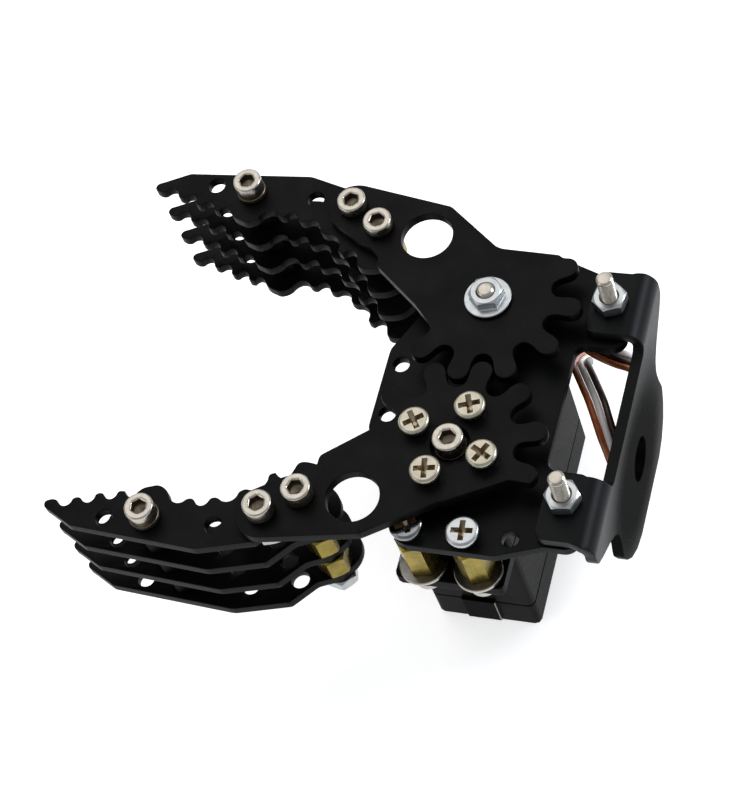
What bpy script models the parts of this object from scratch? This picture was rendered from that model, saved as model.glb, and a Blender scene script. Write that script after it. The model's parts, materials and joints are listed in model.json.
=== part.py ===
"""Two-finger servo gripper for a desktop robot arm.

Frame: +X forward along the fingers, +Y to the servo-driven (left) finger, +Z up.
The origin is on the servo's bottom face, midway between the two jaw axes.
Sizes are written in millimetres and turned into metres by MM.
"""
import math

import bmesh
import bpy
from mathutils import Matrix, Vector

MM = 0.001
GAP = 0.3              # clearance between faces that rest on each other

# Driving dimensions
JAW_AXIS_Y = 14.6      # each jaw's axis lies this far from the centre line
GEAR_TEETH = 11        # teeth a full jaw gear would have
GEAR_TIP = 16.8
GEAR_ROOT = 11.2
TOOTH_TIP_R = 1.95
TOOTH_VALLEY_R = 1.85
LEFT_FIRST_TOOTH = 163.55    # degrees, in each arm's own outward frame
RIGHT_FIRST_TOOTH = 147.2
ARM_TOP = 47.6
PLATE = 2.0            # thickness of every sheet part
LAYER_PITCH = 7.95     # from one grip plate to the next
GRIP_TOP = ARM_TOP - PLATE - GAP
BASE_TOP = 42.1
BASE_CENTRE_Y = 2.2
BRACKET_CENTRE_Y = 2.2
BRACKET_BOLT_X = -21.0
BRACKET_BOLT_HALF = 19.6
BRACKET_BOLT_Y = 1.8
BRACKET_BOLT_TOP = 52.8
SERVO_X = 9.85         # half width of the servo case
SERVO_REAR_Y = -15.9
SERVO_FRONT_Y = 24.8
SERVO_COVER_TOP = 7.3  # seam between bottom cover and middle case
FLANGE_TOP = 29.3
FLANGE_BOTTOM = 26.8
CASE_TOP = 37.0
WALL = 1.5
SCREW_SITES = [(5.0, 29.2), (-5.0, 29.2), (5.0, -20.3), (-5.0, -20.3)]
INNER_BOLT = (23.7, 27.8)
OUTER_BOLT = (29.7, 31.7)
TIP_BOLT = (51.25, 34.5)
SPARE_HOLES = [(38.55, 34.3), (58.9, 35.6)]
LIGHT_HOLE = (14.45, 26.8)
GEAR_MODULE = 0.72     # servo gear train
SMALL_TEETH = 8
BIG_TEETH = 18
FIRST_TEETH = 20
THIRD_SMALL_TEETH = 10
OUTPUT_TEETH = 16
MID_AXIS_Y = JAW_AXIS_Y - GEAR_MODULE * (BIG_TEETH + SMALL_TEETH) / 2
MOTOR_AXIS_Y = MID_AXIS_Y - GEAR_MODULE * (FIRST_TEETH + SMALL_TEETH) / 2
HOLE_SIDES = 10
LEAD_WIDTH = 3.2       # three-wire ribbon lead
COIL_CENTRE = (8.6, -36.0)
COIL_INNER_R = 7.0
COIL_OUTER_R = 13.1
PLUG_CENTRE = (9.8, -28.4)


# ---------------------------------------------------------------- materials
def material(name, colour, roughness, metallic):
    mat = bpy.data.materials.new(name)
    mat.use_nodes = True
    shader = mat.node_tree.nodes["Principled BSDF"]
    shader.inputs["Base Color"].default_value = (*colour, 1.0)
    shader.inputs["Roughness"].default_value = roughness
    shader.inputs["Metallic"].default_value = metallic
    mat.diffuse_color = (*colour, 1.0)
    return mat


# ---------------------------------------------------------------- solids
def face_outward(bm):
    bmesh.ops.recalc_face_normals(bm, faces=bm.faces)
    if bm.calc_volume(signed=True) < 0:
        bmesh.ops.reverse_faces(bm, faces=bm.faces)


def finish_object(name, bm, mat, smooth_angle=None):
    """Turn a bmesh in millimetres into a named object in metres."""
    face_outward(bm)
    mesh = bpy.data.meshes.new(name)
    bmesh.ops.scale(bm, vec=(MM, MM, MM), verts=bm.verts)
    bm.to_mesh(mesh)
    bm.free()
    if smooth_angle is not None:
        mesh.shade_smooth()
        mesh.set_sharp_from_angle(angle=math.radians(smooth_angle))
    mesh.materials.append(mat)
    obj = bpy.data.objects.new(name, mesh)
    bpy.context.scene.collection.objects.link(obj)
    return obj


def circle(centre, radius, count, start=0.0):
    """Points of a circle, anticlockwise."""
    cx, cy = centre
    step = 2 * math.pi / count
    return [(cx + radius * math.cos(start + i * step),
             cy + radius * math.sin(start + i * step)) for i in range(count)]


def arc(centre, radius, from_deg, to_deg, count):
    """Points along an arc, both ends included."""
    cx, cy = centre
    points = []
    for i in range(count + 1):
        turn = math.radians(from_deg + (to_deg - from_deg) * i / count)
        points.append((cx + radius * math.cos(turn), cy + radius * math.sin(turn)))
    return points


def sheet_bmesh(outline, holes, z_low, z_high):
    """A flat solid with the given outline and through holes."""
    bm = bmesh.new()
    for loop in [outline] + holes:
        verts = [bm.verts.new((x, y, z_low)) for x, y in loop]
        for i, vert in enumerate(verts):
            bm.edges.new((vert, verts[(i + 1) % len(verts)]))
    bmesh.ops.triangle_fill(bm, use_beauty=True, edges=bm.edges[:], normal=(0, 0, 1))
    result = bmesh.ops.extrude_face_region(bm, geom=bm.faces[:])
    lifted = [item for item in result["geom"] if isinstance(item, bmesh.types.BMVert)]
    bmesh.ops.translate(bm, vec=(0, 0, z_high - z_low), verts=lifted)
    return bm


def sheet(name, outline, holes, z_low, z_high, mat):
    return finish_object(name, sheet_bmesh(outline, holes, z_low, z_high), mat, 40)


def box_outline(x_low, x_high, y_low, y_high, corner=0.0, steps=2):
    """A rectangle with rounded corners, anticlockwise."""
    if corner == 0.0:
        return [(x_low, y_low), (x_high, y_low), (x_high, y_high), (x_low, y_high)]
    points = []
    for cx, cy, start in ((x_low + corner, y_low + corner, 180),
                          (x_high - corner, y_low + corner, 270),
                          (x_high - corner, y_high - corner, 0),
                          (x_low + corner, y_high - corner, 90)):
        points += arc((cx, cy), corner, start, start + 90, steps)
    return points


def turned_bmesh(centre, rings, sides=12):
    """A solid turned about Z from rings (z, radius) or (z, across_flats, "hex").

    The rings run up the outside and, for a hollow piece, back down the inside.
    The first and last ring are capped, unless they are the same ring.
    """
    bm = bmesh.new()
    loops = []
    closed = rings[0] == rings[-1]
    for ring in rings[:-1] if closed else rings:
        z, size = ring[0], ring[1]
        loop = []
        for i in range(sides):
            turn = 2 * math.pi * i / sides
            radius = size
            if len(ring) > 2:
                off_corner = (turn + math.pi / 6) % (math.pi / 3) - math.pi / 6
                radius = size / 2 / math.cos(math.pi / 6 - abs(off_corner))
            loop.append(bm.verts.new((centre[0] + radius * math.cos(turn),
                                      centre[1] + radius * math.sin(turn), z)))
        loops.append(loop)
    pairs = list(zip(loops, loops[1:]))
    if closed:
        pairs.append((loops[-1], loops[0]))
    else:
        bm.faces.new(loops[0])
        bm.faces.new(loops[-1])
    for low, high in pairs:
        for i in range(sides):
            k = (i + 1) % sides
            bm.faces.new((low[i], low[k], high[k], high[i]))
    return bm


def turned(name, centre, rings, mat, sides=12):
    return finish_object(name, turned_bmesh(centre, rings, sides), mat, 40)


def helper(bm):
    """A short-lived object that only takes part in a Boolean."""
    face_outward(bm)
    mesh = bpy.data.meshes.new("helper")
    bm.to_mesh(mesh)
    bm.free()
    obj = bpy.data.objects.new("helper", mesh)
    bpy.context.scene.collection.objects.link(obj)
    return obj


def combine(name, first, steps, mat):
    """Apply (operation, bmesh) Booleans to the first bmesh and keep the result."""
    body = helper(first)
    tools = []
    for operation, bm in steps:
        tool = helper(bm)
        tool.hide_render = True
        tool.display_type = "WIRE"
        tools.append(tool)
        modifier = body.modifiers.new(operation.lower(), "BOOLEAN")
        modifier.operation = operation
        modifier.solver = "EXACT"
        modifier.object = tool
    evaluated = body.evaluated_get(bpy.context.evaluated_depsgraph_get())
    result = bmesh.new()
    result.from_mesh(evaluated.to_mesh())
    evaluated.to_mesh_clear()
    for obj in [body] + tools:
        bpy.data.objects.remove(obj)
    return finish_object(name, result, mat, 40)


def mirror_y(points):
    """Mirror an outline in the XZ plane and keep it anticlockwise."""
    return [(x, -y) for x, y in reversed(points)]


# ---------------------------------------------------------------- jaw outlines
def jaw_teeth(first_deg, count):
    """Rounded teeth and U valleys about the jaw's axis, anticlockwise.

    Starts on the first tooth's tip and ends at the bottom of the valley
    after the last tooth.
    """
    half_pitch = math.pi / GEAR_TEETH
    tip_dist = GEAR_TIP - TOOTH_TIP_R
    valley_dist = GEAR_ROOT + TOOTH_VALLEY_R
    to_valley = (Vector((math.cos(half_pitch), math.sin(half_pitch))) * valley_dist
                 - Vector((tip_dist, 0.0)))
    between = math.acos((TOOTH_TIP_R + TOOTH_VALLEY_R) / to_valley.length)
    heading = math.atan2(to_valley.y, to_valley.x)
    tip_end = math.degrees(heading - between)
    valley_end = 360 - math.degrees(heading + math.pi - between - half_pitch)
    points = []
    for i in range(count):
        tooth = first_deg + i * 360 / GEAR_TEETH
        valley = tooth + 180 / GEAR_TEETH
        turn = math.radians(tooth)
        tip_centre = (tip_dist * math.cos(turn), JAW_AXIS_Y + tip_dist * math.sin(turn))
        start = -tip_end if i > 0 else -40
        points += arc(tip_centre, TOOTH_TIP_R, tooth + start, tooth + tip_end, 6)
        turn = math.radians(valley)
        valley_centre = (valley_dist * math.cos(turn),
                         JAW_AXIS_Y + valley_dist * math.sin(turn))
        stop = valley_end if i < count - 1 else 180
        points += arc(valley_centre, TOOTH_VALLEY_R, valley + 360 - valley_end,
                      valley + stop, 5 if i < count - 1 else 3)
    return points


def arm_outline(first_tooth, back_edge):
    """A gear arm in its outward frame: y is the distance from the centre line."""
    points = jaw_teeth(first_tooth, 6)
    points += [(13.2, 12.35), (21.4, 18.95), (22.2, 19.75), (22.35, 21.4),
               (24.3, 23.2), (27.6, 24.6)]
    points += arc(OUTER_BOLT, 4.9, -48, 78, 5)
    points += [(28.6, 36.55), (11.9, 33.6), (11.0, 33.2)]
    points += back_edge
    return points


def scallop(start, end, depth):
    """A concave bite between two crests, which are rounded by their end points."""
    a, b = Vector(start), Vector(end)
    along = (b - a).normalized()
    inward = Vector((-along.y, along.x))
    length = (b - a).length
    points = []
    for i in range(6):
        t = i / 5
        side = math.sin(math.pi * t) ** 0.75
        points.append(tuple(a + along * length * t + inward * depth * side))
    return points


def grip_outline():
    """A toothed grip plate in its outward frame."""
    crests = [(26.6, 21.8), (30.8, 23.0), (35.2, 27.1), (40.0, 29.2), (44.3, 29.9)]
    tip_crests = [(57.3, 30.0), (61.3, 31.0), (65.3, 32.4), (69.5, 33.4)]
    land = 0.55        # half width of each crest's flat top
    points = arc((24.7, 25.0), 4.9, 168, 292, 5)
    for run, boss_before in ((crests, False), (tip_crests, True)):
        if boss_before:
            points += scallop((44.3 + land, 29.95), (48.2, 30.0), 0.95)
            points += [(48.75, 29.1), (50.0, 28.2), (50.7, 28.0), (52.2, 28.35),
                       (53.6, 29.0), (54.3, 29.8)]
            points += scallop((54.6, 30.3), (57.3 - land, 29.9), 0.75)
        for a, b in zip(run, run[1:]):
            along = (Vector(b) - Vector(a)).normalized() * land
            points += scallop(tuple(Vector(a) + along), tuple(Vector(b) - along), 1.35)
    points += [(70.4, 33.4), (71.0, 33.9), (71.0, 34.5), (69.6, 35.5), (65.6, 37.5),
               (64.6, 37.85), (42.4, 39.15), (40.2, 39.1), (31.0, 36.6), (30.2, 36.2),
               (26.9, 32.4), (26.0, 31.7), (22.6, 30.2), (21.9, 29.2)]
    points += arc((24.7, 25.0), 4.9, 138, 154, 1)
    return points


# ---------------------------------------------------------------- fixed frame
def base_plate(mat):
    half = []          # (x, distance from the plate's centre line)
    half += [(17.3, 6.5), (17.0, 8.6), (8.4, 25.8)]
    half += arc((4.2, 25.6), 4.2, 10, 90, 3)
    half += [(-10.0, 29.8), (-12.0, 29.3), (-18.5, 27.0)]
    half += arc((-21.9, 24.5), 2.5, 90, 180, 3)
    half += arc((-21.9, 15.0), 2.5, 180, 270, 3)
    half += arc((-18.0, 10.4), 2.1, 90, 0, 3)
    near = [(x, BASE_CENTRE_Y + y) for x, y in half]
    far = [(x, BASE_CENTRE_Y - y) for x, y in reversed(half)]
    holes = [circle((0, JAW_AXIS_Y), 6.2, 20), circle((0, -JAW_AXIS_Y), 1.75, HOLE_SIDES)]
    holes += [circle(site, 1.75, HOLE_SIDES) for site in SCREW_SITES]
    for side in (1, -1):
        holes.append(circle((BRACKET_BOLT_X, BRACKET_BOLT_Y + side * BRACKET_BOLT_HALF),
                            1.75, HOLE_SIDES))
        holes.append(circle((14.5, BASE_CENTRE_Y + side * 5.1), 1.5, HOLE_SIDES))
    holes.append(circle((-12.8, BASE_CENTRE_Y + 26.2), 1.5, HOLE_SIDES))
    sheet("base_plate", near + far, holes, BASE_TOP - PLATE, BASE_TOP, mat)


def wrist_bracket(mat):
    """A flat blank (s along the sheet, y across) bent down over its rear end."""
    tab_front_x = -17.2
    tab_top = BASE_TOP + GAP + PLATE
    outer_face_x = -27.6
    mean_r = 2.5
    bend_start = tab_front_x - (outer_face_x + mean_r + PLATE / 2)
    bend_length = math.pi / 2 * mean_r
    half = [(39.4, 8.0), (38.3, 11.4), (35.9, 14.4), (33.2, 16.2), (30.8, 17.1),
            (28.8, 17.3), (26.6, 16.8), (24.2, 16.6), (22.0, 17.0), (20.2, 18.2),
            (18.6, 20.0), (15.6, 24.6), (14.2, 26.4), (12.6, 27.2), (8.0, 27.2),
            (6.0, 26.7)]
    half += arc((1.8, 24.9), 1.8, 90, 180, 3)
    half += arc((1.8, 15.8), 1.8, 180, 270, 3)
    half += [(9.4, 14.0)]
    half += arc((9.6, 12.2), 1.8, 90, 0, 3)
    near = [(s, y) for s, y in half]
    far = [(s, -y) for s, y in reversed(half)]
    mount_s = 25.7
    holes = [circle((mount_s, 0), 4.0, 20)]
    bolt_s = tab_front_x - BRACKET_BOLT_X
    bolt_y = BRACKET_BOLT_Y - BRACKET_CENTRE_Y
    holes += [circle((bolt_s, bolt_y + side * BRACKET_BOLT_HALF), 1.75, HOLE_SIDES)
              for side in (1, -1)]
    bm = sheet_bmesh(near + far, holes, -PLATE / 2, PLATE / 2)
    folds = 5
    for i in range(folds + 1):
        bmesh.ops.bisect_plane(bm, geom=bm.verts[:] + bm.edges[:] + bm.faces[:],
                               dist=1e-4, plane_no=(1, 0, 0),
                               plane_co=(bend_start + bend_length * i / folds, 0, 0))
    for vert in bm.verts:
        s, y, t = vert.co
        if s <= bend_start:
            x, z = tab_front_x - s, tab_top - PLATE / 2 + t
        elif s < bend_start + bend_length:
            turn = (s - bend_start) / mean_r
            x = tab_front_x - bend_start - (mean_r + t) * math.sin(turn)
            z = tab_top - PLATE / 2 - mean_r + (mean_r + t) * math.cos(turn)
        else:
            x = outer_face_x + PLATE / 2 - t
            z = tab_top - PLATE / 2 - mean_r - (s - bend_start - bend_length)
        vert.co = (x, BRACKET_CENTRE_Y + y, z)
    finish_object("wrist_bracket", bm, mat, 50)


# ---------------------------------------------------------------- servo
def servo_case(mat):
    walls = box_outline(-SERVO_X, SERVO_X, SERVO_REAR_Y, SERVO_FRONT_Y, 1.2)
    room = box_outline(-SERVO_X + WALL, SERVO_X - WALL,
                       SERVO_REAR_Y + WALL, SERVO_FRONT_Y - WALL)
    outlet = box_outline(-2.4, 2.4, SERVO_REAR_Y - 2.2, SERVO_REAR_Y + 1.0)
    slot = box_outline(-1.9, 1.9, SERVO_REAR_Y - 0.5, SERVO_REAR_Y + WALL + 1.0)
    combine("servo_case_bottom", sheet_bmesh(walls, [], 0, SERVO_COVER_TOP), [
        ("UNION", sheet_bmesh(outlet, [], 2.4, 6.4)),
        ("DIFFERENCE", sheet_bmesh(room, [], WALL, SERVO_COVER_TOP + 1)),
        ("DIFFERENCE", sheet_bmesh(slot, [], 3.4, 5.2))], mat)

    flange = box_outline(-SERVO_X, SERVO_X, -23.2, 32.1, 1.0)
    floor_holes = [circle(site, 2.1, HOLE_SIDES) for site in SCREW_SITES]
    floor_holes += [circle((0, JAW_AXIS_Y), 1.6, HOLE_SIDES), circle((0, MID_AXIS_Y), 1.15, HOLE_SIDES),
                    circle((0, MOTOR_AXIS_Y), 1.6, HOLE_SIDES)]
    combine("servo_case_middle",
            sheet_bmesh(walls, [room], SERVO_COVER_TOP + GAP, FLANGE_BOTTOM + 0.5), [
                ("UNION", sheet_bmesh(flange, floor_holes, FLANGE_BOTTOM, FLANGE_TOP))], mat)

    low = FLANGE_TOP + GAP
    combine("servo_case_top", sheet_bmesh(walls, [], low, CASE_TOP), [
        ("DIFFERENCE", sheet_bmesh(room, [], low - 1, CASE_TOP - WALL)),
        ("DIFFERENCE", turned_bmesh((0, JAW_AXIS_Y), [(30, 3.3), (40, 3.3)], 16)),
        ("DIFFERENCE", turned_bmesh((0, MID_AXIS_Y), [(30, 0.95), (36.4, 0.95)], 10))], mat)


def servo_insides(mats):
    turned("servo_motor", (0, MOTOR_AXIS_Y),
           [(8.6, 2.0), (9.4, 7.2), (25.4, 7.2), (25.6, 3.0), (26.4, 3.0), (26.4, 0.8),
            (30.7, 0.8)], mats["steel"], 16)
    board = sheet_bmesh(box_outline(-7.6, 7.6, -13.4, 22.4), [], 3.4, 4.6)
    combine("control_board", board, [
        ("UNION", sheet_bmesh(box_outline(-4.5, 2.5, 4.0, 11.0), [], 4.4, 6.2)),
        ("UNION", sheet_bmesh(box_outline(-5.0, 5.0, -8.0, -3.0), [], 4.4, 5.8))],
        mats["board"])
    turned("potentiometer", (0, JAW_AXIS_Y),
           [(18.5, 5.6), (25.2, 5.6), (25.2, 2.4), (26.4, 2.4), (26.4, 1.1), (29.2, 1.1)],
           mats["steel"], 12)
    turned("gear_pin", (0, MID_AXIS_Y), [(26.9, 0.75), (36.1, 0.75)], mats["steel"], 10)


def spur_outline(centre, teeth, phase_deg):
    """Trapezoid teeth with wide clearance, anticlockwise."""
    pitch_r = GEAR_MODULE * teeth / 2
    tip_r = pitch_r + 0.8 * GEAR_MODULE
    root_r = pitch_r - 1.1 * GEAR_MODULE
    step = 360 / teeth
    points = []
    for i in range(teeth):
        middle = phase_deg + i * step
        for radius, share in ((root_r, -0.27), (tip_r, -0.10), (tip_r, 0.10), (root_r, 0.27)):
            turn = math.radians(middle + share * step)
            points.append((centre[0] + radius * math.cos(turn),
                           centre[1] + radius * math.sin(turn)))
    return points


def meshing_phase(teeth, toward_deg):
    """Phase that puts a valley in the direction of the gear it meets."""
    return toward_deg + 180 / teeth


def compound_gear(name, axis_y, big, small, levels, bore, phases, mat):
    """A large and a small spur in one piece on one bore, stacked along Z."""
    z0, z1, z2 = levels
    centre = (0, axis_y)
    hole = circle(centre, bore, 10)
    lower = sheet_bmesh(spur_outline(centre, big, phases[0]), [hole], z0, z1)
    upper = sheet_bmesh(spur_outline(centre, small, phases[1]), [hole], z1 - 0.2, z2)
    combine(name, lower, [("UNION", upper)], mat)


def gear_train(mats):
    """Pinion, three compound gears and the output shaft; teeth face valleys at rest."""
    forward, back = 90.0, -90.0
    sheet("motor_pinion", spur_outline((0, MOTOR_AXIS_Y), SMALL_TEETH, forward), [
        circle((0, MOTOR_AXIS_Y), 0.95, HOLE_SIDES)], 29.6, 30.7, mats["brass"])
    compound_gear("first_gear", MID_AXIS_Y, FIRST_TEETH, SMALL_TEETH, (29.6, 30.6, 32.0),
                  0.9, (meshing_phase(FIRST_TEETH, back), forward), mats["brass"])
    compound_gear("second_gear", JAW_AXIS_Y, BIG_TEETH, SMALL_TEETH, (30.9, 31.9, 33.3),
                  1.15, (meshing_phase(BIG_TEETH, back), back), mats["nylon"])
    compound_gear("third_gear", MID_AXIS_Y, BIG_TEETH, THIRD_SMALL_TEETH,
                  (32.3, 33.3, 34.9), 0.9,
                  (meshing_phase(BIG_TEETH, forward), forward), mats["nylon"])
    outline = spur_outline((0, JAW_AXIS_Y), OUTPUT_TEETH, meshing_phase(OUTPUT_TEETH, back))
    combine("output_gear", sheet_bmesh(outline, [], 33.6, 34.9), [
        ("UNION", turned_bmesh((0, JAW_AXIS_Y), [
            (29.5, 1.0), (33.8, 1.0), (33.8, 3.0), (37.6, 3.0), (37.9, 2.7), (41.8, 2.7),
            (41.8, 1.65), (38.2, 1.65)], 16))], mats["steel"])


def servo_mounting(mats):
    for number, site in enumerate(SCREW_SITES, 1):
        turned(f"servo_standoff_{number}", site, [
            (24.0, 2.8), (26.5, 2.8), (26.5, 1.5), (FLANGE_TOP + GAP, 1.5),
            (FLANGE_TOP + GAP, 4.35), (FLANGE_TOP + GAP + 0.8, 4.35),
            (FLANGE_TOP + GAP + 0.8, 5.5, "hex"), (BASE_TOP - PLATE - GAP, 5.5, "hex"),
            (BASE_TOP - PLATE - GAP, 1.65), (35.8, 1.65)], mats["brass"])
        head = BASE_TOP + GAP
        turned(f"plate_screw_{number}", site, [
            (36.1, 1.4), (head, 1.4), (head, 2.95), (head + 2.0, 2.95), (head + 2.4, 2.5)],
            mats["steel"])


def bracket_fasteners(mats):
    for number, side in enumerate((1, -1), 1):
        site = (BRACKET_BOLT_X, BRACKET_BOLT_Y + side * BRACKET_BOLT_HALF)
        under = BASE_TOP - PLATE - GAP
        turned(f"bracket_bolt_{number}", site, [
            (under - 2.4, 2.0), (under - 1.6, 2.85), (under, 2.85), (under, 1.5),
            (BRACKET_BOLT_TOP - 0.3, 1.5), (BRACKET_BOLT_TOP, 1.2)], mats["steel"])
        seat = BASE_TOP + PLATE + 2 * GAP
        turned(f"bracket_nut_{number}", site, [
            (seat, 1.65), (seat, 5.5, "hex"), (seat + 2.4, 5.5, "hex"), (seat + 2.4, 1.65),
            (seat, 1.65)], mats["steel"])


def idler_pivot(mats):
    axis = (0, -JAW_AXIS_Y)
    under = BASE_TOP - PLATE - GAP
    turned("pivot_bolt", axis, [
        (under - 1.8, 2.2), (under - 1.3, 2.85), (under, 2.85), (under, 1.5), (50.7, 1.5),
        (51.0, 1.2)], mats["steel"], 24)
    turned("pivot_spacer", axis, [
        (BASE_TOP + GAP, 1.62), (BASE_TOP + GAP, 3.0), (ARM_TOP - PLATE - GAP, 3.0),
        (ARM_TOP - PLATE - GAP, 1.62), (BASE_TOP + GAP, 1.62)], mats["brass"], 24)
    seat = ARM_TOP + GAP
    turned("pivot_nut", axis, [
        (seat, 1.65), (seat, 4.25), (seat + 0.6, 4.1), (seat + 0.7, 5.5, "hex"),
        (seat + 2.6, 5.5, "hex"), (seat + 2.6, 1.65), (seat, 1.65)], mats["steel"])


# ---------------------------------------------------------------- jaws
def finger(side_name, side, first_tooth, back_edge, pivot_hole, extra_holes, mats):
    """One jaw: gear arm, four grip plates, two spacer stacks and their screws."""
    def place(point):
        return (point[0], side * point[1])

    def oriented(outline):
        return outline if side > 0 else mirror_y(outline)

    holes = [pivot_hole, circle(place(LIGHT_HOLE), 4.75, 24),
             circle(place(INNER_BOLT), 1.7, HOLE_SIDES), circle(place(OUTER_BOLT), 1.7, HOLE_SIDES)]
    sheet(f"{side_name}_gear_arm", oriented(arm_outline(first_tooth, back_edge)),
          holes + extra_holes, ARM_TOP - PLATE, ARM_TOP, mats["black"])

    holes = [circle(place(INNER_BOLT), 1.7, HOLE_SIDES), circle(place(OUTER_BOLT), 1.7, HOLE_SIDES),
             circle(place(TIP_BOLT), 1.7, HOLE_SIDES)]
    holes += [circle(place(spot), 1.6, HOLE_SIDES) for spot in SPARE_HOLES]
    tops = [GRIP_TOP - i * LAYER_PITCH for i in range(4)]
    arm_screw_head = 3.0 if side > 0 else 2.3
    for number, top in enumerate(tops, 1):
        sheet(f"{side_name}_grip_plate_{number}", oriented(grip_outline()), holes,
              top - PLATE, top, mats["black"])

    for label, site in (("inner", INNER_BOLT), ("tip", TIP_BOLT)):
        rings = [(tops[3] - PLATE - GAP - 2.4, 5.5, "hex"), (tops[3] - PLATE - GAP, 5.5, "hex")]
        for low_plate_top, high_plate_top in zip(tops[:0:-1], tops[-2::-1]):
            rings += [(rings[-1][0], 1.45), (low_plate_top + GAP, 1.45),
                      (low_plate_top + GAP, 5.5, "hex"),
                      (high_plate_top - PLATE - GAP, 5.5, "hex")]
        hex_top = rings[-1][0]
        rings += [(hex_top, 1.6), (hex_top - 4.3, 1.6)]
        turned(f"{side_name}_{label}_spacers", place(site), rings,
               mats["brass" if label == "inner" else "black"])
        if label == "inner":
            seat, head = ARM_TOP + GAP, arm_screw_head
        else:
            seat, head = GRIP_TOP + GAP, 4.0
        cap_screw(f"{side_name}_{label}_screw", place(site), seat, hex_top - 4.0, mats, head)
    nut_top = tops[0] - PLATE - GAP
    cap_screw(f"{side_name}_outer_screw", place(OUTER_BOLT), ARM_TOP + GAP,
              nut_top - 3.0, mats, arm_screw_head)
    turned(f"{side_name}_outer_nut", place(OUTER_BOLT), [
        (nut_top - 2.4, 1.6), (nut_top - 2.4, 5.5, "hex"), (nut_top, 5.5, "hex"),
        (nut_top, 1.6), (nut_top - 2.4, 1.6)], mats["steel"])


def cap_screw(name, site, seat, tip, mats, head=3.0, head_r=2.65):
    """Socket-head screw: shank radius 1.4, hexagon socket; head counts any washer."""
    top = seat + head
    turned(name, site, [
        (tip, 1.4), (seat, 1.4), (seat, head_r), (top - 0.3, head_r), (top, head_r - 0.3),
        (top, 2.5, "hex"), (top - 1.4, 2.5, "hex")], mats["steel"])


def left_jaw(mats):
    axis = (0, JAW_AXIS_Y)
    sites = [(7 * math.cos(math.radians(a)), JAW_AXIS_Y + 7 * math.sin(math.radians(a)))
             for a in (-20, 70, 160, 250)]
    back_edge = [(-0.4, 25.9), (-1.8, 25.4), (-8.3, 22.0), (-11.6, 20.2)]
    finger("left", 1, LEFT_FIRST_TOOTH, back_edge, circle(axis, 3.5, 20),
           [circle(site, 1.5, HOLE_SIDES) for site in sites], mats)
    disc_top = ARM_TOP - PLATE - GAP
    horn = turned_bmesh(axis, [
        (38.3, 3.1), (38.3, 4.6), (42.7, 4.6), (42.7, 9.9), (disc_top, 9.9),
        (disc_top, 1.7), (42.1, 1.7), (42.1, 3.1), (38.3, 3.1)], 24)
    combine("servo_horn", horn, [
        ("DIFFERENCE", turned_bmesh(site, [(40, 1.5), (48, 1.5)], 10)) for site in sites],
        mats["black"])
    for number, site in enumerate(sites, 1):
        seat = ARM_TOP + GAP
        turned(f"horn_screw_{number}", site, [
            (43.0, 1.25), (seat, 1.25), (seat, 2.75), (seat + 2.0, 2.75), (seat + 2.4, 2.35)],
            mats["steel"])
    cap_screw("horn_centre_screw", axis, disc_top + GAP, 38.6, mats, 4.4, 2.75)


def right_jaw(mats):
    back_edge = [(1.6, 26.1), (0.4, 25.55), (-0.8, 25.4), (-10.3, 25.1), (-11.4, 24.6)]
    finger("right", -1, RIGHT_FIRST_TOOTH, back_edge,
           circle((0, -JAW_AXIS_Y), 1.6, 24), [], mats)


# ---------------------------------------------------------------- servo lead
LEAD_ROUTE = [         # from the outlet, up through the wrist gap and back to the coil
    (0.0, -19.0, 4.3), (-0.5, -23.7, 6.1), (-2.3, -27.2, 10.6), (-4.8, -27.5, 16.2),
    (-7.3, -28.2, 21.9), (-9.5, -28.7, 27.8), (-10.8, -25.4, 32.8), (-12.4, -19.4, 34.6),
    (-15.9, -15.7, 34.0), (-20.1, -14.8, 31.6), (-23.2, -15.9, 27.4), (-23.8, -15.6, 22.0),
    (-23.3, -12.0, 17.6), (-22.9, -6.2, 16.5), (-23.5, -0.6, 18.5), (-23.8, 2.8, 23.2),
    (-23.2, 2.7, 28.4), (-21.6, -0.1, 32.0), (-19.4, -4.4, 33.0), (-16.8, -8.8, 31.6),
    (-14.1, -13.4, 29.6), (-12.7, -17.2, 24.6), (-11.4, -20.7, 19.4), (-10.1, -24.2, 14.2),
    (-8.7, -27.6, 9.0), (-7.3, -31.4, 4.0), (-6.4, -35.8, 2.0)]


def smooth_route(points, spacing):
    """Points at an even spacing along a Catmull-Rom curve through the route."""
    dense = []
    ends = [points[0]] + points + [points[-1]]
    for p0, p1, p2, p3 in zip(ends, ends[1:], ends[2:], ends[3:]):
        a, b, c, d = (Vector(p) for p in (p0, p1, p2, p3))
        for i in range(12):
            t = i / 12
            dense.append(0.5 * (2 * b + (c - a) * t + (2 * a - 5 * b + 4 * c - d) * t ** 2
                                + (3 * b - a - 3 * c + d) * t ** 3))
    dense.append(Vector(points[-1]))
    even = [dense[0]]
    travelled = 0.0
    for a, b in zip(dense, dense[1:]):
        travelled += (b - a).length
        if travelled >= spacing:
            even.append(b)
            travelled = 0.0
    return even


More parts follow.
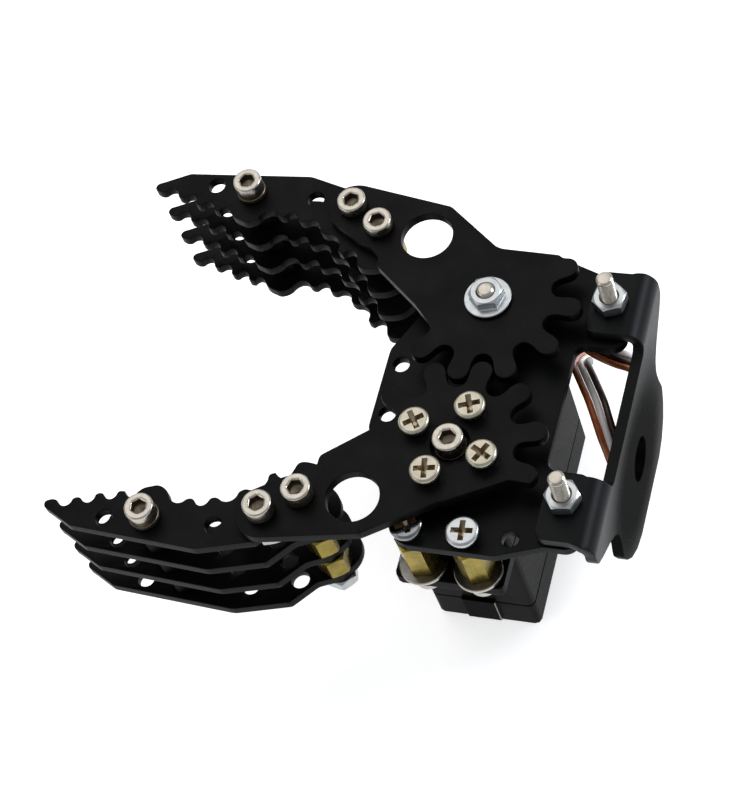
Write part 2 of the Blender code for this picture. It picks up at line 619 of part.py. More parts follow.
def servo_lead(mats):
    route = smooth_route(LEAD_ROUTE, 2 * LEAD_WIDTH)
    curve = bpy.data.curves.new("servo_lead", "CURVE")
    curve.dimensions = "3D"
    curve.bevel_depth = LEAD_WIDTH / 2 * MM
    curve.bevel_resolution = 2
    curve.use_fill_caps = True
    spline = curve.splines.new("POLY")
    spline.points.add(len(route) - 1)
    for point, place in zip(spline.points, route):
        point.co = (*(place * MM), 1.0)
    curve.materials.append(mats["lead"])
    obj = bpy.data.objects.new("servo_lead", curve)
    bpy.context.scene.collection.objects.link(obj)

    turned("lead_coil", COIL_CENTRE, [
        (0.3, COIL_INNER_R), (0.3, COIL_OUTER_R), (4.2, COIL_OUTER_R), (4.2, COIL_INNER_R),
        (0.3, COIL_INNER_R)], mats["lead"], 24)
    plug_x, plug_y = PLUG_CENTRE
    sheet("lead_connector", box_outline(plug_x - 7, plug_x + 7, plug_y - 3.85, plug_y + 3.85),
          [], 4.5, 7.1, mats["plastic"])


# ---------------------------------------------------------------- assembly
def main():
    for obj in list(bpy.data.objects):
        bpy.data.objects.remove(obj)
    mats = {
        "black": material("black_anodised", (0.016, 0.017, 0.019), 0.5, 0.7),
        "plastic": material("black_plastic", (0.03, 0.03, 0.032), 0.5, 0.0),
        "steel": material("nickel_steel", (0.72, 0.69, 0.63), 0.28, 1.0),
        "brass": material("brass", (0.72, 0.53, 0.25), 0.3, 1.0),
        "nylon": material("white_nylon", (0.8, 0.8, 0.76), 0.45, 0.0),
        "board": material("green_board", (0.03, 0.2, 0.08), 0.5, 0.0),
        "lead": material("servo_lead", (0.33, 0.1, 0.03), 0.45, 0.0),
    }
    base_plate(mats["black"])
    wrist_bracket(mats["black"])
    servo_case(mats["plastic"])
    servo_insides(mats)
    gear_train(mats)
    servo_mounting(mats)
    bracket_fasteners(mats)
    idler_pivot(mats)
    left_jaw(mats)
    right_jaw(mats)
    servo_lead(mats)


main()
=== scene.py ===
"""Looks of the two-finger servo gripper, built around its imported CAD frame.

Plates, screws, nuts, spacers, servo and lead are rebuilt with their real fine
shape where the frame puts them. Lengths are written in millimetres; MM turns
them into metres.
"""
import json
import math

import bmesh
import bpy
from mathutils import Matrix, Vector


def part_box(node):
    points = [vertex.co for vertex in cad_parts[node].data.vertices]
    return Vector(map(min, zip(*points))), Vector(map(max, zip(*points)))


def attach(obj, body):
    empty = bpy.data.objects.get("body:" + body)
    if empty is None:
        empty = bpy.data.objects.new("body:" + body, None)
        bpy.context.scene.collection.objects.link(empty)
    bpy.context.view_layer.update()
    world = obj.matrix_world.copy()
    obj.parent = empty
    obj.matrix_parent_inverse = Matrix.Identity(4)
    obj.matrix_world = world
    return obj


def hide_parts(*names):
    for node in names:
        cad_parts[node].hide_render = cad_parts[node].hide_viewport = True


MM = 0.001
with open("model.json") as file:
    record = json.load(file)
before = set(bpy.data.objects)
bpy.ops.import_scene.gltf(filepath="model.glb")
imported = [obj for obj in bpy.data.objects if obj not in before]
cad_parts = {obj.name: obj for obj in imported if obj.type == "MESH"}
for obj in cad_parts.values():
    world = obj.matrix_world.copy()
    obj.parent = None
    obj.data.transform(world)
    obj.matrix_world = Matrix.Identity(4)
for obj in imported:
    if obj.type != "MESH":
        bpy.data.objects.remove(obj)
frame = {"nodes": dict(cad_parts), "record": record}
NODES = frame["nodes"]
NODE_BODY = {n: b for b, ns in frame["record"]["behaviour"]["bodies"].items() for n in ns}
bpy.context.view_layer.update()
BASE = "gripper_base"


# ---------------------------------------------------------------- camera
def make_camera():
    data = bpy.data.cameras.new("photo_camera")
    data.lens = 106.7
    data.shift_x = 0.0018
    data.shift_y = -0.0301
    right = Vector((-0.9409, -0.2470, -0.2316)).normalized()
    up = Vector((0.0974, -0.8525, 0.5136))
    back = right.cross(up).normalized()
    up = back.cross(right)
    cam = bpy.data.objects.new("photo_camera", data)
    bpy.context.scene.collection.objects.link(cam)
    turn = Matrix((right, up, back)).transposed().to_4x4()
    cam.matrix_world = Matrix.Translation(Vector((-117.34, 193.64, 389.32)) * MM) @ turn
    bpy.context.scene.camera = cam


# ---------------------------------------------------------------- mesh tools
def put(name, bm, mats, body, stands_for=(), smooth=38, weighted=False):
    """Turn a bmesh in metres into a piece that rides on a body."""
    bmesh.ops.recalc_face_normals(bm, faces=bm.faces)
    if bm.calc_volume(signed=True) < 0:
        bmesh.ops.reverse_faces(bm, faces=bm.faces)
    mesh = bpy.data.meshes.new(name)
    bm.to_mesh(mesh)
    bm.free()
    mesh.shade_smooth()
    mesh.set_sharp_from_angle(angle=math.radians(smooth))
    for mat in mats if isinstance(mats, (list, tuple)) else [mats]:
        mesh.materials.append(mat)
    obj = bpy.data.objects.new(name, mesh)
    bpy.context.scene.collection.objects.link(obj)
    if weighted:
        modifier = obj.modifiers.new("weighted_normals", "WEIGHTED_NORMAL")
        modifier.keep_sharp = True
        modifier.weight = 100
    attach(obj, body)
    if stands_for:
        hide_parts(*stands_for)
    return obj


def loft(bm, rings, closed=False, slot=0):
    """Join rings of equal point counts with quads; open ends are capped."""
    loops = [[bm.verts.new(p) for p in ring] for ring in rings]
    pairs = list(zip(loops, loops[1:]))
    faces = []
    if closed:
        pairs.append((loops[-1], loops[0]))
    else:
        faces += [bm.faces.new(loops[0]), bm.faces.new(loops[-1])]
    for low, high in pairs:
        for i in range(len(low)):
            k = (i + 1) % len(low)
            faces.append(bm.faces.new((low[i], low[k], high[k], high[i])))
    for face in faces:
        face.material_index = slot


def hex_radius(turn, flats):
    """Distance to a hexagon's outline; a corner lies at turn 0."""
    return flats / 2 / math.cos((turn % (math.pi / 3)) - math.pi / 6)


def ring(centre, z, size, sides=48, turned=0.0):
    """A level ring: size is a radius, or a function of the angle."""
    points = []
    for i in range(sides):
        turn = 2 * math.pi * i / sides
        radius = size(turn) if callable(size) else size
        points.append(Vector((centre[0] + radius * MM * math.cos(turn + turned),
                              centre[1] + radius * MM * math.sin(turn + turned), z * MM)))
    return points


def middle_of(node):
    low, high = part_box(node)
    return (low + high) / 2


def span_of(node):
    """Lowest and highest z of a node, in millimetres."""
    low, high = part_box(node)
    return low.z / MM, high.z / MM


# ---------------------------------------------------------------- outlines
LONGEST_CURVED_EDGE = 2.25 * MM
CURVE_STEPS = 4


def edge_loops(faces):
    """Directed boundary loops of a face region, with the material on the left."""
    following = {}
    for face in faces:
        for corner in face.loops:
            others = [f for f in corner.edge.link_faces if f is not face]
            if not others or others[0] not in faces:
                following[corner.vert] = corner.link_loop_next.vert
    loops = []
    while following:
        start = next(iter(following))
        loop, vert = [], start
        while vert in following:
            loop.append(vert.co.copy())
            vert = following.pop(vert)
        loops.append(loop)
    return loops


def corner_direction(before, after):
    """Unit tangent where two edges meet, or None at a real corner."""
    if before.angle(after) > math.radians(62):
        return None
    long_before = before.length > LONGEST_CURVED_EDGE
    long_after = after.length > LONGEST_CURVED_EDGE
    if long_before and long_after:
        return None
    if long_before or long_after:
        straight = before if long_before else after
        return straight.normalized() if before.angle(after) < math.radians(38) else None
    return (before.normalized() * after.length + after.normalized() * before.length).normalized()


def refined(points):
    """The same outline with its short edges bent into smooth curves."""
    fine = []
    count = len(points)
    for i in range(count):
        a, b, c, d = (points[(i + k) % count] for k in (-1, 0, 1, 2))
        fine.append(b)
        edge = c - b
        if edge.length > LONGEST_CURVED_EDGE or edge.length < 0.15 * MM:
            continue
        start = corner_direction(b - a, edge)
        end = corner_direction(edge, d - c)
        start = edge.normalized() if start is None else start
        end = edge.normalized() if end is None else end
        pull = edge.length / math.cos(start.angle(end) / 4) ** 2
        for step in range(1, CURVE_STEPS):
            t = step / CURVE_STEPS
            fine.append(b * (2 * t ** 3 - 3 * t ** 2 + 1)
                        + start * pull * (t ** 3 - 2 * t ** 2 + t)
                        + c * (3 * t ** 2 - 2 * t ** 3) + end * pull * (t ** 3 - t ** 2))
    return fine


def inset(points, width):
    """Each point moved into the material, which lies to the left, in the XY plane."""
    moved = []
    count = len(points)
    for i in range(count):
        before = (points[i] - points[i - 1]).to_2d().normalized()
        after = (points[(i + 1) % count] - points[i]).to_2d().normalized()
        side = Vector((-before.y - after.y, before.x + after.x))
        if side.length < 1e-6:
            side = Vector((-before.y, before.x))
        side.normalize()
        reach = width / max(0.6, side.dot(Vector((-after.y, after.x))))
        moved.append(points[i] + Vector((side.x * reach, side.y * reach, 0)))
    return moved


def plate_bmesh(loops, z_low, z_high, edge):
    """A sheet from its directed outlines, with every edge rounded."""
    profile = [(z_low, edge), (z_low + 0.29 * edge, 0.29 * edge), (z_low + edge, 0.0),
               (z_high - edge, 0.0), (z_high - 0.29 * edge, 0.29 * edge), (z_high, edge)]
    bm = bmesh.new()
    rims = {z_low: [], z_high: []}
    for loop in loops:
        rings = []
        for z, width in profile:
            rings.append([bm.verts.new((p.x, p.y, z)) for p in inset(loop, width)])
        for low, high in zip(rings, rings[1:]):
            for i in range(len(low)):
                k = (i + 1) % len(low)
                bm.faces.new((low[i], low[k], high[k], high[i]))
        for z, rim in ((z_low, rings[0]), (z_high, rings[-1])):
            rims[z] += [bm.edges.get((rim[i - 1], rim[i])) for i in range(len(rim))]
    for z, edges in rims.items():
        bmesh.ops.triangle_fill(bm, use_beauty=True, edges=edges,
                                normal=(0, 0, 1 if z == z_high else -1))
    return bm


def node_bmesh(node):
    bm = bmesh.new()
    bm.from_mesh(NODES[node].data)
    bmesh.ops.remove_doubles(bm, verts=bm.verts, dist=1e-6)
    bm.normal_update()
    return bm


def level_loops(node, z):
    """Outlines of a node's upward face at height z (metres)."""
    bm = node_bmesh(node)
    top = {f for f in bm.faces if f.normal.z > 0.99 and abs(f.calc_center_median().z - z) < 1e-5}
    loops = edge_loops(top)
    bm.free()
    return loops


def softened(node, width, mat):
    """A copy of a CAD solid with clean flats and rounded edges."""
    bm = node_bmesh(node)
    bmesh.ops.dissolve_limit(bm, angle_limit=math.radians(1), verts=bm.verts, edges=bm.edges)
    sharp = [e for e in bm.edges if e.is_manifold and e.calc_face_angle(0) > math.radians(32)]
    bmesh.ops.bevel(bm, geom=sharp, offset=width * MM, segments=2, profile=0.6, affect="EDGES",
                    clamp_overlap=True)
    return put(f"{node}_shell", bm, mat, NODE_BODY[node], [node], weighted=True)


# ---------------------------------------------------------------- materials
def shader_node(mat, kind, **inputs):
    node = mat.node_tree.nodes.new(kind)
    for key, value in inputs.items():
        node.inputs[key.replace("_", " ")].default_value = value
    return node


def principled(name, **values):
    mat = bpy.data.materials.new(name)
    mat.use_nodes = True
    shader = mat.node_tree.nodes["Principled BSDF"]
    for key, value in values.items():
        if key == "Base_Color":
            value = (*value, 1.0)
        shader.inputs[key.replace("_", " ")].default_value = value
    return mat, shader


def noise(mat, scale, detail=3.0, stretch=None):
    """Noise over the object's own coordinates; scale is in features per metre."""
    where = mat.node_tree.nodes.new("ShaderNodeTexCoord").outputs["Object"]
    if stretch:
        mapping = shader_node(mat, "ShaderNodeMapping")
        mapping.inputs["Scale"].default_value = stretch
        mat.node_tree.links.new(where, mapping.inputs["Vector"])
        where = mapping.outputs["Vector"]
    node = shader_node(mat, "ShaderNodeTexNoise", Scale=scale, Detail=detail)
    mat.node_tree.links.new(where, node.inputs["Vector"])
    return node.outputs["Fac"]


def spread(mat, source, low, high, source_low=0.3, source_high=0.7):
    """Map a texture's middle range to low..high."""
    node = shader_node(mat, "ShaderNodeMapRange", From_Min=source_low, From_Max=source_high,
                       To_Min=low, To_Max=high)
    mat.node_tree.links.new(source, node.inputs["Value"])
    return node.outputs["Result"]


def tint(mat, shader, source, dark, light, socket="Base Color"):
    mix = mat.node_tree.nodes.new("ShaderNodeMix")
    mix.data_type = "RGBA"
    mix.inputs[6].default_value = (*dark, 1.0)
    mix.inputs[7].default_value = (*light, 1.0)
    mat.node_tree.links.new(source, mix.inputs[0])
    mat.node_tree.links.new(mix.outputs[2], shader.inputs[socket])


def bump(mat, shader, source, height, strength):
    node = shader_node(mat, "ShaderNodeBump", Strength=strength, Distance=height * MM)
    mat.node_tree.links.new(source, node.inputs["Height"])
    mat.node_tree.links.new(node.outputs["Normal"], shader.inputs["Normal"])


def anodised():
    mat, shader = principled("black_anodised_aluminium", Metallic=0.85, IOR=1.45,
                             Specular_IOR_Level=0.12, Roughness=0.42)
    shader.inputs["Specular Tint"].default_value = (0.72, 0.72, 0.72, 1.0)
    grain = noise(mat, 5200.0, 2.0)
    cloud = noise(mat, 160.0, 4.0)
    tint(mat, shader, spread(mat, cloud, 0.0, 1.0), (0.0070, 0.0072, 0.0072),
         (0.0100, 0.0104, 0.0104))
    mat.node_tree.links.new(spread(mat, grain, 0.38, 0.47), shader.inputs["Roughness"])
    bump(mat, shader, grain, 0.012, 0.2)
    return mat


def bracket_painted_reflection():
    """The bracket's anodising with a painted dark reflection: blackest midway up its upright
    sheet, greyer further away.
    """
    mat, shader = principled("bracket_anodising_painted_dark_reflection", Metallic=0.85, IOR=1.45,
                             Specular_IOR_Level=0.12, Roughness=0.45)
    grain = noise(mat, 5200.0, 2.0)
    where = mat.node_tree.nodes.new("ShaderNodeTexCoord").outputs["Object"]
    mapping = shader_node(mat, "ShaderNodeMapping")
    mapping.inputs["Location"].default_value = (1.27, -0.16, -1.35)
    mapping.inputs["Scale"].default_value = (46.0, 36.0, 52.0)
    mat.node_tree.links.new(where, mapping.inputs["Vector"])
    ball = shader_node(mat, "ShaderNodeTexGradient")
    ball.gradient_type = "SPHERICAL"
    mat.node_tree.links.new(mapping.outputs["Vector"], ball.inputs["Vector"])
    away = spread(mat, ball.outputs["Fac"], 1.0, 0.0, 0.0, 0.6)
    # Painted reflection: darker base colour and weaker edge reflection near the sheet's middle,
    # stronger further away.
    tint(mat, shader, away, (0.0050, 0.0052, 0.0053), (0.011, 0.0115, 0.012))
    tint(mat, shader, away, (0.16, 0.16, 0.16), (1.0, 1.0, 1.0), "Specular Tint")
    mat.node_tree.links.new(spread(mat, grain, 0.40, 0.5), shader.inputs["Roughness"])
    bump(mat, shader, grain, 0.012, 0.2)
    return mat


def nickel(name, colour, worn, roughness):
    mat, shader = principled(name, Metallic=1.0, Roughness=roughness)
    cloud = noise(mat, 900.0, 4.0)
    tint(mat, shader, spread(mat, cloud, 0.0, 1.0), worn, colour)
    fine = noise(mat, 4200.0, 3.0)
    mat.node_tree.links.new(spread(mat, fine, roughness * 0.92, roughness * 1.1),
                            shader.inputs["Roughness"])
    bump(mat, shader, fine, 0.01, 0.05)
    return mat


def brass():
    mat, shader = principled("turned_brass", Metallic=1.0, Roughness=0.27)
    cloud = noise(mat, 420.0, 4.0)
    tint(mat, shader, spread(mat, cloud, 0.0, 1.0), (0.18, 0.135, 0.02), (0.31, 0.235, 0.042))
    drawn = noise(mat, 2600.0, 2.0, (1.0, 1.0, 0.06))
    mat.node_tree.links.new(spread(mat, drawn, 0.24, 0.36), shader.inputs["Roughness"])
    bump(mat, shader, drawn, 0.012, 0.08)
    return mat


def moulded(name, dark, light, roughness, gloss=0.35, lustre=0.0):
    mat, shader = principled(name, Roughness=roughness, Specular_IOR_Level=gloss,
                             Metallic=lustre)
    if lustre:
        shader.inputs["Specular Tint"].default_value = (0.55, 0.55, 0.55, 1.0)
    cloud = noise(mat, 260.0, 4.0)
    tint(mat, shader, spread(mat, cloud, 0.0, 1.0), dark, light)
    grain = noise(mat, 3800.0, 2.0)
    mat.node_tree.links.new(spread(mat, grain, roughness * 0.85, roughness * 1.2),
                            shader.inputs["Roughness"])
    bump(mat, shader, grain, 0.02, 0.2)
    return mat


def insulation(name, dark, light):
    mat, shader = principled(name, Roughness=0.34, Specular_IOR_Level=0.5,
                             Subsurface_Weight=0.0, Coat_Weight=0.15, Coat_Roughness=0.2)
    cloud = noise(mat, 700.0, 3.0)
    tint(mat, shader, spread(mat, cloud, 0.0, 1.0), dark, light)
    fine = noise(mat, 3000.0, 2.0)
    mat.node_tree.links.new(spread(mat, fine, 0.28, 0.42), shader.inputs["Roughness"])
    bump(mat, shader, fine, 0.01, 0.1)
    return mat


MATS = {
    "black": anodised(),
    "bracket": bracket_painted_reflection(),
    "nickel": nickel("nickel_plated_steel", (0.50, 0.47, 0.42), (0.40, 0.37, 0.32), 0.28),
    "zinc": nickel("zinc_plated_nut", (0.50, 0.52, 0.53), (0.40, 0.42, 0.44), 0.3),
    "ivory": nickel("ivory_nickel_screw", (0.49, 0.46, 0.38), (0.38, 0.35, 0.28), 0.33),
    # painted shade for socket insides and the lower walls of socket heads
    "recess": nickel("painted_shade_socket_and_wall", (0.22, 0.18, 0.13), (0.10, 0.08, 0.06), 0.4),
    # painted shade inside the Phillips cross recesses
    "cross": nickel("cross_recess_painted_shade", (0.52, 0.44, 0.32), (0.26, 0.21, 0.15), 0.35),
    # painted grey: painted shade on lower head walls and under posts, painted light on the end
    # pad's side
    "painted_grey": nickel("painted_grey_light_and_shade", (0.30, 0.29, 0.27), (0.18, 0.17, 0.16), 0.32),
    # painted shade: a darker screw colour for the plate screw the arm shades
    "arm_shaded": nickel("painted_shade_screw", (0.24, 0.25, 0.27), (0.14, 0.15, 0.16), 0.16),
    "brass": brass(),
    "case": moulded("servo_case_plastic", (0.006, 0.006, 0.006), (0.010, 0.010, 0.010), 0.4,
                    0.12, 0.8),
    "connector": moulded("connector_plastic", (0.014, 0.014, 0.015), (0.022, 0.022, 0.023), 0.4),
    "grommet": moulded("grommet_rubber", (0.012, 0.012, 0.012), (0.018, 0.018, 0.018), 0.6),
    "pad": moulded("end_pad_plastic", (0.002, 0.002, 0.002), (0.003, 0.003, 0.003), 0.5,
                   0.1, 0.8),
    "nylon": moulded("gear_nylon", (0.66, 0.65, 0.6), (0.78, 0.77, 0.72), 0.42),
    "board": moulded("board_green", (0.012, 0.09, 0.03), (0.02, 0.14, 0.05), 0.38),
    "orange": insulation("wire_orange", (0.34, 0.075, 0.012), (0.46, 0.11, 0.018)),
    "pale": insulation("wire_pale", (0.90, 0.83, 0.82), (0.96, 0.90, 0.89)),
    "brown": insulation("wire_brown", (0.030, 0.010, 0.006), (0.050, 0.016, 0.009)),
}


# ---------------------------------------------------------------- servo lead
STRAND_R = 0.62
STRAND_PITCH = 1.24    # between neighbouring strands' centres
# The route's points are an optimiser's output, which smoothed a rough route;
# they are not a list chosen by hand. part.py has the same points.
LEAD_ROUTE = [         # from the outlet, up through the wrist gap and back to the coil
    (0.0, -19.0, 4.3), (-0.5, -23.7, 6.1), (-2.3, -27.2, 10.6), (-4.8, -27.5, 16.2),
    (-7.3, -28.2, 21.9), (-9.5, -28.7, 27.8), (-10.8, -25.4, 32.8), (-12.4, -19.4, 34.6),
    (-15.9, -15.7, 34.0), (-20.1, -14.8, 31.6), (-23.2, -15.9, 27.4), (-23.8, -15.6, 22.0),
    (-23.3, -12.0, 17.6), (-22.9, -6.2, 16.5), (-23.5, -0.6, 18.5), (-23.8, 2.8, 23.2),
    (-23.2, 2.7, 28.4), (-21.6, -0.1, 32.0), (-19.4, -4.4, 33.0), (-16.8, -8.8, 31.6),
    (-14.1, -13.4, 29.6), (-12.7, -17.2, 24.6), (-11.4, -20.7, 19.4), (-10.1, -24.2, 14.2),
    (-8.7, -27.6, 9.0), (-7.3, -31.4, 4.0), (-6.4, -35.8, 2.0)]
LEAD_SIDE = {          # route point: side of the centreline that the orange strand lies on
    0: (1.0, 0.0, 0.0), 2: (0.9, 0.3, 0.2), 5: (0.3, 0.9, 0.2), 8: (-0.24, 0.79, -0.53),
    10: (-0.24, 0.79, -0.53), 12: (0.0, 0.9, -0.4), 14: (0.1, 0.4, -0.9), 16: (0.6, 0.2, -0.4),
    17: (0.75, 0.41, 0.065), 18: (0.75, 0.41, 0.065), 19: (0.75, 0.41, 0.065),
    21: (0.8, 0.3, 0.1), 23: (0.1, -0.6, 0.75), 25: (-0.95, -0.1, 0.2), 26: (-1.0, 0.0, 0.0)}
LEAD_SPREAD = {18: 1.3, 19: 1.3, 21: 1.25}           # where the strands lie further apart
LEAD_SWAP = (11, 16)   # between these points the pale and brown strands change places
LEAD_TAIL = [(18.2, -35.5, 3.6), (20.2, -32.0, 5.0)]   # from the coil towards the connector
COIL_TURNS = 2.45
COIL_LOWEST = 1.3      # height of the wires' centres on the floor
COIL_LAYER = 1.45      # height of one layer of the coil
COIL_POINTS = 18       # route points in a turn
COIL_LANES = ((0.9, 1.25, -3.4), (1.95, 2.3, 1.7))   # turns from, turns to, step in radius
COIL_RISE = (1.72, 1.95)                             # turns in which it climbs a layer


def catmull(points, steps):
    fine = []
    ends = [points[0]] + points + [points[-1]]
    for a, b, c, d in zip(ends, ends[1:], ends[2:], ends[3:]):
        for i in range(steps):
            t = i / steps
            fine.append(0.5 * (2 * b + (c - a) * t + (2 * a - 5 * b + 4 * c - d) * t ** 2
                               + (3 * b - a - 3 * c + d) * t ** 3))
    fine.append(points[-1])
    return fine


def eased(value, start, end):
    """0 before start, 1 after end, smooth between."""
    t = min(1.0, max(0.0, (value - start) / (end - start)))
    return t * t * (3 - 2 * t)


def lead_line():
    """Centreline, strand side and strand spacing, all along the lead."""
    steps = 10
    route = [Vector(p) for p in LEAD_ROUTE]
    ring_low, ring_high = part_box("lead_coil")
    centre = (ring_low + ring_high) / 2 / MM
    outer_r = (ring_high.x - ring_low.x) / MM / 2 - 1.7
    plug_low, plug_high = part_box("lead_connector")
    plug = (plug_low + plug_high) / 2 / MM
    coil = []
    first = (route[-1] - centre).to_2d()
    start_turn = math.degrees(math.atan2(first.y, first.x))
    for i in range(1, int(COIL_TURNS * COIL_POINTS) + 1):
        laps = i / COIL_POINTS
        turn = math.radians(start_turn + 360 * laps)
        radius = first.length + (outer_r - first.length) * min(1.0, i / 5)
        for start, end, step in COIL_LANES:
            radius += step * eased(laps, start, end)
        height = (COIL_LOWEST + 0.7 * (1 - eased(laps, 0.0, 0.2))
                  + COIL_LAYER * eased(laps, *COIL_RISE))
        coil.append(Vector((centre.x + radius * math.cos(turn),
                            centre.y + radius * math.sin(turn), height)))
    entry = Vector((plug_high.x / MM - 0.4, plug.y, plug.z))
    tail = [Vector(p) for p in LEAD_TAIL] + [Vector((19.2, -28.9, plug.z)), entry]
    line = catmull(route + coil + tail, steps)
    for point in line:
        point.z = max(point.z, COIL_LOWEST)
    keys = sorted(LEAD_SIDE)
    sides, gaps = [], []
    for i in range(len(line)):
        at = min(i / steps, keys[-1])
        low = max(k for k in keys if k <= at)
        high = min(k for k in keys if k >= at)
        t = 0.0 if high == low else eased(at, low, high)
        side = Vector(LEAD_SIDE[low]).lerp(Vector(LEAD_SIDE[high]), t)
        gap = (LEAD_SPREAD.get(low, STRAND_PITCH) * (1 - t)
               + LEAD_SPREAD.get(high, STRAND_PITCH) * t)
        if i / steps > keys[-1]:
            side = Vector((line[i].x - centre.x, line[i].y - centre.y, 0.0))
        if i > len(line) - 3 * steps:
            blend = (i - len(line) + 3 * steps) / (3 * steps)
            side = side.normalized().lerp(Vector((0.0, 1.0, 0.0)), blend)
            gap = STRAND_PITCH + 1.2 * blend ** 2
        ahead = line[min(i + 1, len(line) - 1)] - line[max(i - 1, 0)]
        side = side - ahead * side.dot(ahead) / ahead.length_squared
        sides.append(side.normalized())
        gaps.append(gap)
    swaps = [min(1.0, max(0.0, (i / steps - LEAD_SWAP[0]) / (LEAD_SWAP[1] - LEAD_SWAP[0])))
             for i in range(len(line))]
    return line, sides, gaps, swaps


def servo_lead():
    line, sides, gaps, swaps = lead_line()
    bm = bmesh.new()
    for strand, offset in enumerate((1, 0, -1)):
        rings = []
        for i, (point, side, gap, swap) in enumerate(zip(line, sides, gaps, swaps)):
            ahead = (line[min(i + 1, len(line) - 1)] - line[max(i - 1, 0)]).normalized()
            rise = ahead.cross(side)
            across, lift = float(offset), 0.0
            if strand:
                turn = math.pi * (1 - swap + (strand - 1))
                across, lift = -0.5 + 0.5 * math.cos(turn), 0.5 * math.sin(turn)
            middle = point + (side * across + rise * lift) * gap
            rings.append([(middle + (side * math.cos(a) + rise * math.sin(a)) * STRAND_R) * MM
                          for a in (2 * math.pi * k / 12 for k in range(12))])
        loft(bm, rings, slot=strand)
    lead = put("servo_lead_strands", bm, [MATS["orange"], MATS["pale"], MATS["brown"]], BASE,
               ["servo_lead", "lead_coil"], 60)
    length = sum((b - a).length for a, b in zip(line, line[1:])) * MM
    return lead, [tuple(p * MM) for p in line], length


def coil_tie():
    """A flat black strap around both turns of the coil."""
    low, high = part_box("lead_coil")
    centre = (low + high) / 2
    reach = (high.x - low.x) / 2
    inner, outer = reach - 7.1 * MM, reach + 0.35 * MM
    turn = math.radians(232)
    out = Vector((math.cos(turn), math.sin(turn), 0))
    along = Vector((-math.sin(turn), math.cos(turn), 0))

    def outline(offset, margin):
        points = []
        for k in range(40):
            a = 2 * math.pi * k / 40
            across = math.copysign(abs(math.cos(a)) ** 0.35, math.cos(a))
            rise = math.copysign(abs(math.sin(a)) ** 0.6, math.sin(a))
            points.append(Vector((centre.x, centre.y, 2.05 * MM)) + along * offset
                          + out * ((inner + outer) / 2 + across * ((outer - inner) / 2 + margin))
                          + Vector((0, 0, rise * (1.5 * MM + margin))))
        return points

    half, thick, soft = 1.5 * MM, 0.4 * MM, 0.12 * MM
    bm = bmesh.new()
    loft(bm, [outline(-half + soft, thick), outline(half - soft, thick),
              outline(half, thick - soft), outline(half, 0.0),
              outline(-half, 0.0), outline(-half, thick - soft)], closed=True)
    return put("coil_tie", bm, MATS["grommet"], BASE, (), 50)


def connector():
    """Three-way socket housing: a body with windows and contact holes."""
    low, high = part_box("lead_connector")
    bm = bmesh.new()
    outline = [Vector((low.x, low.y, 0)), Vector((high.x, low.y, 0)),
               Vector((high.x, high.y, 0)), Vector((low.x, high.y, 0))]
    body = plate_bmesh([outline], low.z, high.z, 0.25 * MM)
    mesh = bpy.data.meshes.new("part")
    body.to_mesh(mesh)
    bm.from_mesh(mesh)
    half = 0.45 * MM
    for k in (-1, 0, 1):
        y = (low.y + high.y) / 2 + k * 2.54 * MM
        contact = [(y - half, low.z + 0.8 * MM), (y + half, low.z + 0.8 * MM),
                   (y + half, high.z - 0.8 * MM), (y - half, high.z - 0.8 * MM)]
        loft(bm, [[Vector((x, v, z)) for v, z in contact]
                  for x in (low.x - 0.05 * MM, low.x + 0.2 * MM)], slot=1)
        window = [(low.x + 4.2 * MM, y - half), (low.x + 7.6 * MM, y - half),
                  (low.x + 7.6 * MM, y + half), (low.x + 4.2 * MM, y + half)]
        loft(bm, [[Vector((u, v, z)) for u, v in window]
                  for z in (high.z - 0.1 * MM, high.z + 0.06 * MM)], slot=1)
    bpy.data.meshes.remove(mesh)
    return put("three_way_connector", bm, [MATS["connector"], MATS["nickel"]], BASE,
               ["lead_connector"])


# ---------------------------------------------------------------- plates
def flat_plate(node, edge=0.16):
    low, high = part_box(node)
    loops = [refined(loop) for loop in level_loops(node, high.z)]
    bm = plate_bmesh(loops, low.z, high.z, edge * MM)
    return put(f"{node}_cut", bm, MATS["black"], NODE_BODY[node], [node],
               40, True)


